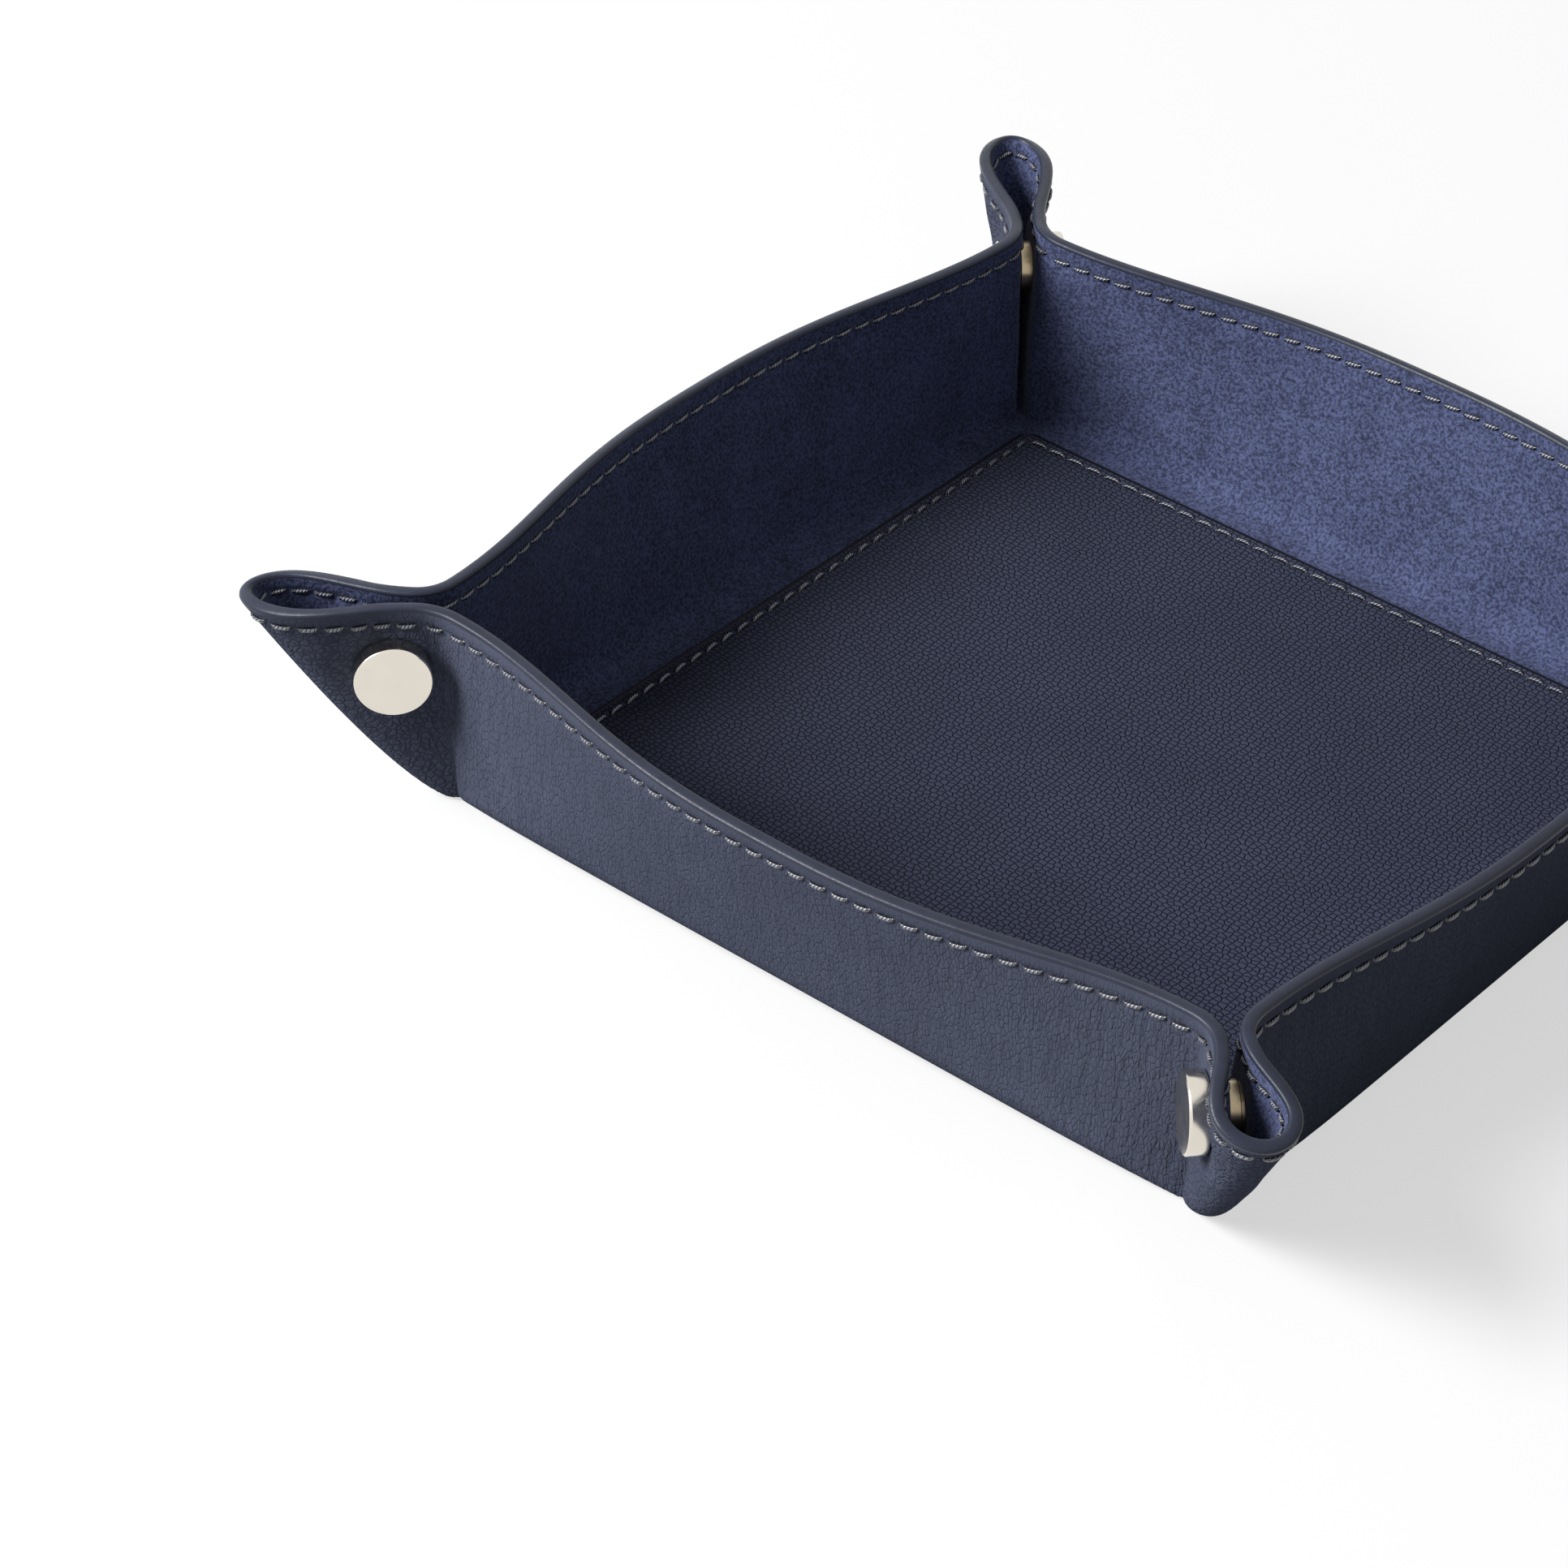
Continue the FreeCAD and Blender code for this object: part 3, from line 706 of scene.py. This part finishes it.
class Nodes:
    """Short way to build a material, or a world, from nodes around its one shader."""

    def __init__(self, name, store="materials", **values):
        self.owner = getattr(bpy.data, store).new(name)
        self.owner.use_nodes = True
        self.tree = self.owner.node_tree
        self.shader = next(node for node in self.tree.nodes if len(node.outputs))
        self.set(self.shader, values)

    def feed(self, socket, value):
        """Give a value to a socket, or link it where the value is a socket too."""
        if isinstance(value, bpy.types.NodeSocket):
            self.tree.links.new(value, socket)
        else:
            socket.default_value = value

    def set(self, node, values):
        """Feed sockets named with underscores."""
        for key, value in values.items():
            self.feed(node.inputs[key.replace("_", " ")], value)
        return node

    def add(self, kind, settings=None, inputs=(), **values):
        """New node with its settings, its first sockets in order and other sockets by name."""
        node = self.tree.nodes.new(kind)
        for key, value in (settings or {}).items():
            setattr(node, key, value)
        for socket, value in zip(node.inputs, inputs):
            self.feed(socket, value)
        return self.set(node, values)

    def coordinates(self, stretch=(1, 1, 1), formed=False):
        """Object coordinates, or places along and up the formed sheet, in millimetres times a share for each axis."""
        if formed:
            place = self.add("ShaderNodeAttribute", {"attribute_name": "sheet_place"}).outputs["Vector"]
        else:
            place = self.add("ShaderNodeTexCoord").outputs["Object"]
        return self.add("ShaderNodeMapping", Vector=place,
                        Scale=tuple(share / MM for share in stretch)).outputs["Vector"]

    def wavering(self, stretch, scale, amount, formed=False):
        """Coordinates in millimetres, stretched and drawn to and fro by noise."""
        where = self.coordinates(stretch, formed)
        waver = self.add("ShaderNodeTexNoise", Vector=where, Scale=scale, Detail=2.0).outputs["Color"]
        inputs = (waver, (amount, amount, amount), where)
        return self.add("ShaderNodeVectorMath", {"operation": "MULTIPLY_ADD"}, inputs).outputs[0]

    def pebbles(self, stretch, scatter, waver, formed, dimensions):
        """Height of scattered cells, sunk along their borders."""
        kind = {"feature": "DISTANCE_TO_EDGE", "voronoi_dimensions": dimensions}
        edge = self.add("ShaderNodeTexVoronoi", kind, Scale=1.0, Randomness=scatter,
                        Vector=self.wavering(stretch, 0.5, waver, formed)).outputs["Distance"]
        return self.range(edge, 0.0, 0.2)

    def attribute(self, name):
        """Value that the mesh carries."""
        return self.add("ShaderNodeAttribute", {"attribute_name": name}).outputs["Fac"]

    def noise(self, scale, detail=2.0, roughness=0.5, where=None):
        """Noise value, in the object's millimetres where no coordinates are given."""
        return self.add("ShaderNodeTexNoise", Vector=where or self.coordinates(), Scale=scale, Detail=detail,
                        Roughness=roughness).outputs["Fac"]

    def math(self, operation, *values):
        """Arithmetic on values."""
        return self.add("ShaderNodeMath", {"operation": operation}, values).outputs[0]

    def range(self, value, low, high, to_low=0.0, to_high=1.0):
        """Value carried from one range to another, smoothly."""
        inputs = (value, low, high, to_low, to_high)
        return self.add("ShaderNodeMapRange", {"interpolation_type": "SMOOTHSTEP"}, inputs).outputs["Result"]

    def blend(self, share, low, high, kind="RGBA"):
        """Colour between two colours, or value between two values."""
        node = self.add("ShaderNodeMix", {"data_type": kind}, (share,))
        first, result = (6, 2) if kind == "RGBA" else (2, 0)
        self.feed(node.inputs[first], low)
        self.feed(node.inputs[first + 1], high)
        return node.outputs[result]

    def tones(self, value, colour, dark, light, low=0.3, high=0.7):
        """Colour that goes from one share of itself to another as a value rises."""
        return self.blend(self.range(value, low, high), scaled(colour, dark), scaled(colour, light))

    def seen(self):
        """1 for rays that the camera sees, directly or in gloss, and 0 for light thrown on other things."""
        rays = self.add("ShaderNodeLightPath").outputs
        gloss = self.math("MAXIMUM", rays["Is Glossy Ray"], rays["Is Transmission Ray"])
        return self.math("MAXIMUM", rays["Is Camera Ray"], gloss)

    def bump(self, height, distance, strength=1.0, below=None):
        """Bump normal of a height between 0 and 1, over another bump where one is given."""
        values = {"Height": height, "Distance": distance * MM, "Strength": strength}
        if below is not None:
            values["Normal"] = below
        return self.add("ShaderNodeBump", **values).outputs["Normal"]

    def wear(self, **sockets):
        """Feed the shader's sockets and return the material or world."""
        self.set(self.shader, sockets)
        return self.owner


def scaled(colour, share=1.0):
    """Colour made lighter or darker, with its alpha."""
    return (*(min(value * share, 1) for value in colour), 1)


def leather_material(name, colour, cell, scatter, waver, formed):
    """Leather: pebbles with sunk borders and pores; their borders are painted darker as shade.

    On the formed sheet soft wrinkles run up the walls, deeper where the corners gather them, with painted shade in
    their troughs; the ears have rounder pebbles, and towards the rim the grain and its painted shade are burnished
    away.
    """
    n = Nodes(name, Specular_IOR_Level=0.0)
    pebble = n.pebbles(cell, scatter, waver, formed, "2D")
    pore = n.noise(1.0, 3.0, where=n.coordinates((4, 4, 4)))
    broad = n.noise(1.0, 3.0, where=n.coordinates((0.05, 0.05, 0.05)))
    # dark: share of the colour in the painted shade of the grain's hollows
    dark, relief, grain, depth = 0.5, 1.0, None, pebble
    if formed:
        dark = 0.72
        eared = n.attribute("eared")
        burnish = n.range(n.attribute("below_rim"), 0.0, settings()[0].edge_fade, 0.15, 1.0)
        gather = n.math("MULTIPLY", burnish, n.range(n.attribute("gathered"), 0.0, 1.0, 0.3, 0.6))
        gather = n.math("MULTIPLY", gather, n.range(eared, 0.0, 1.0, 1.0, 0.45))
        wave = n.noise(1.0, 3.0, 0.55, n.wavering((1.15, 0.22, 1), 0.7, 0.9, True))
        wrinkle = n.range(wave, 0.36, 0.56)
        grain = n.bump(wrinkle, 0.24, gather)
        pebble = n.blend(eared, pebble, n.pebbles((0.85, 0.85, 0.95), 1.0, 0.8, False, "3D"), "FLOAT")
        relief = n.math("MULTIPLY", burnish, n.range(eared, 0.0, 1.0, 0.42, 0.9))
        # Painted shade: colour darkened in the pebbles' borders and the wrinkles' troughs
        depth = n.math("MULTIPLY", n.range(pebble, 0.0, 1.0, 0.2, 1.0), n.range(wrinkle, 0.0, 1.0, 0.55, 1.0))
        # The painted shade fades out towards the burnished rim
        depth = n.math("MAXIMUM", depth, n.math("SUBTRACT", 1.0, burnish))
    grain = n.bump(pebble, 0.16, relief, grain)
    grain = n.bump(pore, 0.03, 0.5, grain)
    wear_and_glint = n.tones(broad, colour, 0.95, 1.07)
    # Base colour: painted shade in the grain's hollows, over the leather's own broad tone
    return n.wear(Base_Color=n.blend(n.range(depth, 0.0, 0.9), scaled(colour, dark), wear_and_glint),
                  Roughness=n.range(depth, 0.0, 1.0, 0.65, 0.5), Normal=grain)


def suede_material(name, colour):
    """Suede with a short nap: fine flecks, cloudy strokes and a soft sheen."""
    n = Nodes(name, Roughness=0.95, Specular_IOR_Level=0.12, Sheen_Weight=0.2, Sheen_Roughness=0.4,
              Sheen_Tint=(0.8, 0.82, 0.95, 1))
    fleck = n.noise(1.9, 3.0, 0.6, n.wavering((1, 1, 1), 0.5, 0.6))
    cloud = n.noise(0.10, 3.0, 0.6)
    nap = n.noise(4.0)
    dark = n.tones(cloud, colour, 0.42, 0.55, 0.35, 0.65)
    light = n.tones(cloud, colour, 1.4, 1.65, 0.35, 0.65)
    tone = n.blend(n.range(fleck, 0.34, 0.66), dark, light)
    return n.wear(Base_Color=tone, Normal=n.bump(nap, 0.08, 0.6, n.bump(fleck, 0.22, 0.9)))


def paint_material(name, colour, roughness):
    """Edge paint: satin, with slight waves of the hand-laid coat."""
    n = Nodes(name, Specular_IOR_Level=0.22)
    wave, speck = n.noise(0.35, 3.0), n.noise(2.6)
    return n.wear(Base_Color=n.tones(wave, colour, 0.9, 1.1),
                  Roughness=n.range(speck, 0.3, 0.7, roughness - 0.06, roughness + 0.08),
                  Normal=n.bump(speck, 0.03, 0.4, n.bump(wave, 0.08, 0.4)))


def thread_material(name, colour):
    """Waxed thread of twisted plies, drawn by a slanting wave on its own map.

    A pale painted glint is laid on the outward crest of each ply, and painted shade darkens the thread between the
    plies and where it enters its holes.
    """
    n = Nodes(name, Specular_IOR_Level=0.8)
    place = n.add("ShaderNodeUVMap", {"uv_map": "thread"}).outputs["UV"]
    split = n.add("ShaderNodeSeparateXYZ", Vector=place)
    slope = n.math("MULTIPLY_ADD", split.outputs["X"], 1.5, split.outputs["Y"])
    # Slanting wave of the plies: it bumps the thread and paints shade between the plies
    twist = n.range(n.math("PINGPONG", slope, 0.25), 0.02, 0.16)
    # Painted shade: the thread darkens towards both ends, where it sinks into its holes
    inner = n.range(n.math("ABSOLUTE", split.outputs["X"]), 0.45, 0.72, 1.0, 0.0)
    # Painted highlight: the glint keeps to the outward side of the thread
    top = n.range(n.math("ABSOLUTE", n.math("SUBTRACT", split.outputs["Y"], 0.25)), 0.10, 0.24, 1.0, 0.0)
    # Mask of the painted glint: crests of the plies, on the outward side, away from the ends
    wear_and_glint = n.math("MULTIPLY", twist, n.math("MULTIPLY", inner, top))
    painted_glint = scaled(settings()[1].painted_glint)
    fibre = n.noise(9.0)
    # Base colour: dark thread with the pale painted glint on its crests
    return n.wear(Base_Color=n.blend(wear_and_glint, scaled(colour), painted_glint), Roughness=n.range(fibre, 0.3, 0.7, 0.25, 0.36),
                  Normal=n.bump(twist, 0.14, 0.9, n.bump(fibre, 0.02, 0.4)))


def metal_material(name, colour, roughness):
    """Polished plate with faint wipe marks in its gloss."""
    n = Nodes(name, Metallic=1.0)
    smear, mark = n.noise(0.3), n.noise(3.0)
    return n.wear(Base_Color=n.tones(smear, colour, 0.98, 1.02),
                  Roughness=n.range(smear, 0.3, 0.7, roughness * 0.9, roughness * 1.15),
                  Normal=n.bump(mark, 0.002, 0.15))


def board_material(name, colour):
    """Pressed fibre board."""
    n = Nodes(name, Roughness=0.85)
    fibre = n.noise(1.5, 4.0, 0.7, n.coordinates((1, 0.4, 1)))
    return n.wear(Base_Color=n.tones(fibre, colour, 0.75, 1.25), Normal=n.bump(fibre, 0.1, 0.6))


def floor_material(name, colour):
    """Matt floor that the camera, and gloss on the tray, see as white where no shadow falls and far out."""
    n = Nodes(name, Roughness=0.9, Specular_IOR_Level=0.1)
    grain = n.noise(1.0, where=n.coordinates((0.02, 0.02, 0.02)))
    n.wear(Base_Color=n.blend(grain, scaled(colour, 0.99), scaled(colour, 1.01)))
    matt = n.add("ShaderNodeBsdfDiffuse", Color=WHITE).outputs[0]
    white = n.add("ShaderNodeEmission", Color=WHITE, Strength=1.0).outputs[0]
    place = n.add("ShaderNodeTexCoord").outputs["Object"]
    reach = n.add("ShaderNodeVectorMath", {"operation": "LENGTH"}, Vector=place).outputs["Value"]
    pale = n.add("ShaderNodeMixShader", None, (n.range(reach, 0.5, 1.6, 0.6, 1.0), matt, white)).outputs[0]
    both = n.add("ShaderNodeMixShader", None, (n.seen(), n.shader.outputs[0], pale)).outputs[0]
    n.feed(n.tree.nodes["Material Output"].inputs["Surface"], both)
    return n.owner


# Finishes by name: their maker, the property that holds their colour and the maker's other values
FINISHES = {
    "pebbled_leather": (leather_material, "leather", (1.5, 0.65, 1), 1.0, 0.6, True),
    "flat_leather": (leather_material, "leather", (1.1, 1.1, 1.1), 1.0, 0.6, False),
    # Panel leather: its own grain, with a darker colour than the walls' same leather as painted shade
    "panel_leather": (leather_material, "panel", (0.85, 1.05, 1.0), 0.55, 0.5, False),
    "navy_suede_nap": (suede_material, "suede"),
    "edge_paint": (paint_material, "edge", 0.34),
    "panel_edge_paint": (paint_material, "panel_edge", 0.5),
    "waxed_thread": (thread_material, "thread"),
    "polished_plate": (metal_material, "nickel", 0.18),
    # Inner plate: brass, darkened as painted shade deep in the ears
    "inner_plate": (metal_material, "brass", 0.28),
    "spring_wire": (metal_material, "steel", 0.25),
    "pressed_board": (board_material, "board"),
    "studio_floor": (floor_material, "floor"),
}


def finish(name):
    """Material of the tray by name, made when it is first asked for."""
    made = bpy.data.materials.get(name)
    if made:
        return made
    maker, colour, *values = FINISHES[name]
    return maker(name, getattr(settings()[1], colour), *values)


def dress(node, name):
    """Give a CAD node a finish in place of its own."""
    node.data.materials.clear()
    node.data.materials.append(finish(name))


class TRAY_OT_sheet(bpy.types.Operator):
    """Form the leather and the suede lining of the walls, bends and loops"""
    bl_idname = "tray.sheet"
    bl_label = "Leather and lining"

    def execute(self, context):
        form = tray_form()
        layers = {"leather": (0, form.leather_thick, "pebbled_leather", "navy_leather"),
                  "lining": (0, -form.lining_thick, "navy_suede_nap", "navy_suede")}
        for region in regions(form):
            for layer, (low, high, material, slot) in layers.items():
                name = f"{region.name}_formed_{layer}"
                piece = sheet_layer(name, region, (low, high), finish(material))
                carry(piece, region)
                if region.nodes:
                    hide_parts(*[f"{node}_{layer}" for node in region.nodes])
        return {"FINISHED"}


class TRAY_OT_edge(bpy.types.Operator):
    """Paint the rounded edge of the rim"""
    bl_idname = "tray.edge"
    bl_label = "Painted edge"

    def execute(self, context):
        for region in regions(tray_form()):
            piece = sheet_edge(f"{region.name}_painted_edge", region.sheet, rim_stations(region), finish("edge_paint"))
            carry(piece, region, rim=True)
        return {"FINISHED"}


class TRAY_OT_stitching(bpy.types.Operator):
    """Sew the rim, outside and inside"""
    bl_idname = "tray.stitching"
    bl_label = "Rim stitching"

    def execute(self, context):
        form = tray_form()
        faces = {"outer": form.leather_thick, "inner": -form.lining_thick}
        for region in regions(form):
            limits = rim_stations(region)[[0, -1]]
            for face, depth in faces.items():
                name = f"{region.name}_{face}_stitches"
                piece = sheet_stitches(name, region.sheet, limits, depth, finish("waxed_thread"))
                carry(piece, region, rim=True)
        return {"FINISHED"}


def base_outline(form):
    """Fold line of the four walls and the feet of the four corners, once round the tray."""
    feet = [np.linspace(1, 2, FOOT_POINTS)[1:], np.linspace(2, 3, FOOT_POINTS)[1:-1]]
    stations = np.concatenate([np.linspace(-1, 1, FOLD_POINTS), *feet])
    return np.concatenate([Sheet(form, wall).middle(stations, 0.0)[:, :2] for wall in WALL_TURNS])[::-1]


def slab(name, outline, low, high, material):
    """Flat slab over an outline that runs anticlockwise."""
    count = len(outline)
    points = np.concatenate([np.c_[outline, np.full(count, height)] for height in (low, high)])
    index = np.arange(count)
    sides = side_faces(index, count)
    lids = np.stack([index[::-1], index + count])
    lid_normals = np.repeat(np.stack([-UP, UP])[:, None], count, axis=1)
    return add_piece(name, points, [(sides, flat_normals(points, sides)), (lids, lid_normals)], material)


class TRAY_OT_base(bpy.types.Operator):
    """Lay the flat base of leather and lining"""
    bl_idname = "tray.base"
    bl_label = "Base"

    def execute(self, context):
        form = tray_form()
        outline = base_outline(form)
        leather = slab("base_flat_leather", outline, 0.0, form.leather_thick, finish("flat_leather"))
        lining = slab("base_flat_lining", outline, form.leather_thick, form.panel_low, finish("navy_suede_nap"))
        for piece, node, slot in ((leather, "base_leather", "navy_leather"), (lining, "base_lining", "navy_suede")):
            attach(piece, "base")
            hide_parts(node)
        dress(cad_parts["base_board"], "pressed_board")
        return {"FINISHED"}


def panel_height(form, inset):
    """Height of the panel's face by distance from its edge: a quarter round, then flat with a stitched furrow."""
    short = np.clip(1 - inset / form.panel_round, 0, 1)
    rounded = form.panel_round * (1 - np.sqrt(1 - short ** 2))
    furrow = form.groove_depth * np.exp(-((inset - form.panel_inset) / (form.groove_width * PANEL_FURROW)) ** 2)
    return form.panel_low + form.panel_thick - rounded - furrow


def panel_point(form, x, y):
    """Panel's plan with round corners: in each corner square the points are drawn onto circles."""
    start = form.panel_half - form.panel_corner
    across = np.maximum(np.abs(x) - start, 0)
    along = np.maximum(np.abs(y) - start, 0)
    far = np.maximum(across, along)
    share = far / np.maximum(np.hypot(across, along), TINY)
    both = (across > 0) & (along > 0)
    px = np.where(both, np.copysign(start + across * share, x), x)
    py = np.where(both, np.copysign(start + along * share, y), y)
    inset = form.panel_half - np.where(both, start + far, np.maximum(np.abs(x), np.abs(y)))
    return px, py, np.maximum(inset, 0)


def panel_piece(form):
    """Inner panel: a grid that follows its edge, with the painted rim as its second material."""
    half = form.panel_half - np.array(PANEL_ROWS) * MM
    line = np.concatenate([-half, [0], half[::-1]])
    x, y, inset = panel_point(form, *np.meshgrid(line, line, indexing="ij"))
    top = np.stack([x, y, panel_height(form, inset)], axis=-1)
    bottom = np.stack([x, y, np.full_like(x, form.panel_low)], axis=-1)
    normal = unit(np.cross(np.gradient(top, axis=0), np.gradient(top, axis=1)))
    down = np.broadcast_to(-UP, bottom.shape)
    points, blocks = shell(top[:, ::-1], normal[:, ::-1], bottom[:, ::-1], down)
    panel = add_piece("base_inner_panel", points, blocks, finish("panel_leather"))
    panel.data.materials.append(finish("panel_edge_paint"))
    faces = panel.data.polygons
    centres = np.zeros(len(faces) * 3)
    faces.foreach_get("center", centres)
    _, _, distance = panel_point(form, *centres.reshape(-1, 3)[:, :2].T)
    faces.foreach_set("material_index", (distance < PANEL_PAINT * MM).astype(np.int32))
    return panel


def panel_stitches(form):
    """Row of stitches along the four sides of the panel."""
    row = form.panel_half - form.panel_inset
    length = 2 * (row - max(form.panel_corner - form.panel_inset, 0))
    places, share = stitch_places(length, form)
    side = np.stack([places - length / 2, np.full_like(places, -row) + share[None, :] * form.stitch_slant,
                     np.full_like(places, panel_height(form, form.panel_inset))], axis=-1)
    centre = np.concatenate([side @ spin(turn * math.pi / 2) for turn in range(4)])
    along = unit(np.gradient(centre, axis=1))
    outward = np.broadcast_to(UP, centre.shape)
    return thread_piece("base_panel_stitches", centre, along, outward, form, finish("waxed_thread"))


class TRAY_OT_panel(bpy.types.Operator):
    """Make the inner panel with its painted edge and stitching"""
    bl_idname = "tray.panel"
    bl_label = "Inner panel"

    def execute(self, context):
        form = tray_form()
        panel = panel_piece(form)
        for piece in (panel, panel_stitches(form)):
            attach(piece, "base")
        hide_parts("base_panel")
        return {"FINISHED"}


class TRAY_OT_snaps(bpy.types.Operator):
    """Polish the snaps and their ring springs"""
    bl_idname = "tray.snaps"
    bl_label = "Snaps"

    def execute(self, context):
        inside = {"spring": "spring_wire", "socket": "inner_plate", "stud": "inner_plate"}
        for name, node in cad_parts.items():
            if name.startswith("snap_"):
                dress(node, inside.get(name.split("_")[1], "polished_plate"))
        return {"FINISHED"}


class TRAY_OT_stage(bpy.types.Operator):
    """Set up the floor, the light and the camera"""
    bl_idname = "tray.stage"
    bl_label = "Studio"

    def execute(self, context):
        stage = settings()[2]
        scene = context.scene
        scene.view_settings.view_transform = "Standard"
        half = stage.floor_size
        corners = [(-half, -half, 0), (half, -half, 0), (half, half, 0), (-half, half, 0)]
        mesh = bpy.data.meshes.new("floor")
        mesh.from_pydata(corners, [], [(0, 1, 2, 3)])
        mesh.materials.append(finish("studio_floor"))
        add_object("floor", mesh)
        self.add_light(stage)
        self.add_world(stage, scene)
        camera = add_object("camera", bpy.data.cameras.new("camera"))
        camera.data.lens = stage.camera_lens
        camera.data.clip_start = NEAREST
        camera.location = stage.camera_place
        camera.rotation_euler = stage.camera_turn
        scene.camera = camera
        return {"FINISHED"}

    def add_light(self, stage):
        """Square soft light that faces the tray."""
        light = bpy.data.lights.new("key_light", "AREA")
        light.energy = stage.key_power
        light.size = stage.key_size
        key = add_object("key_light", light)
        direction = Vector(stage.key_direction).normalized()
        key.location = direction * stage.key_distance
        key.rotation_euler = direction.to_track_quat("Z", "Y").to_euler()

    def add_world(self, stage, scene):
        """Even light all round, which the camera and gloss see as white."""
        n = Nodes("studio", "worlds", Color=WHITE)
        scene.world = n.wear(Strength=n.range(n.seen(), 0.0, 1.0, stage.fill, 1.0))


class TRAY_PT_panel(bpy.types.Panel):
    """Valet tray tools"""
    bl_idname = "TRAY_PT_panel"
    bl_label = "Valet tray"
    bl_space_type = "VIEW_3D"
    bl_region_type = "UI"
    bl_category = "Valet tray"

    def draw(self, context):
        layout = self.layout
        for operator in OPERATORS:
            layout.operator(operator.bl_idname)
        for group in GROUPS:
            box = layout.box()
            owner = getattr(context.scene, group)
            for name in owner.__annotations__:
                box.prop(owner, name)


GROUPS = {"tray_sizes": TraySizes, "tray_finish": TrayFinish, "tray_stage": TrayStage}
OPERATORS = (TRAY_OT_base, TRAY_OT_panel, TRAY_OT_sheet, TRAY_OT_edge, TRAY_OT_stitching, TRAY_OT_snaps, TRAY_OT_stage)


def register():
    """Add the classes and the scene's property groups."""
    for item in (*GROUPS.values(), *OPERATORS, TRAY_PT_panel):
        bpy.utils.register_class(item)
    for name, group in GROUPS.items():
        setattr(bpy.types.Scene, name, PointerProperty(type=group))


def unregister():
    """Remove what register added."""
    for name in GROUPS:
        delattr(bpy.types.Scene, name)
    for item in reversed((*GROUPS.values(), *OPERATORS, TRAY_PT_panel)):
        bpy.utils.unregister_class(item)


def main():
    """Build the tray and the studio."""
    register()
    for operator in OPERATORS:
        area, name = operator.bl_idname.split(".")
        getattr(getattr(bpy.ops, area), name)()


if __name__ == "__main__":
    main()
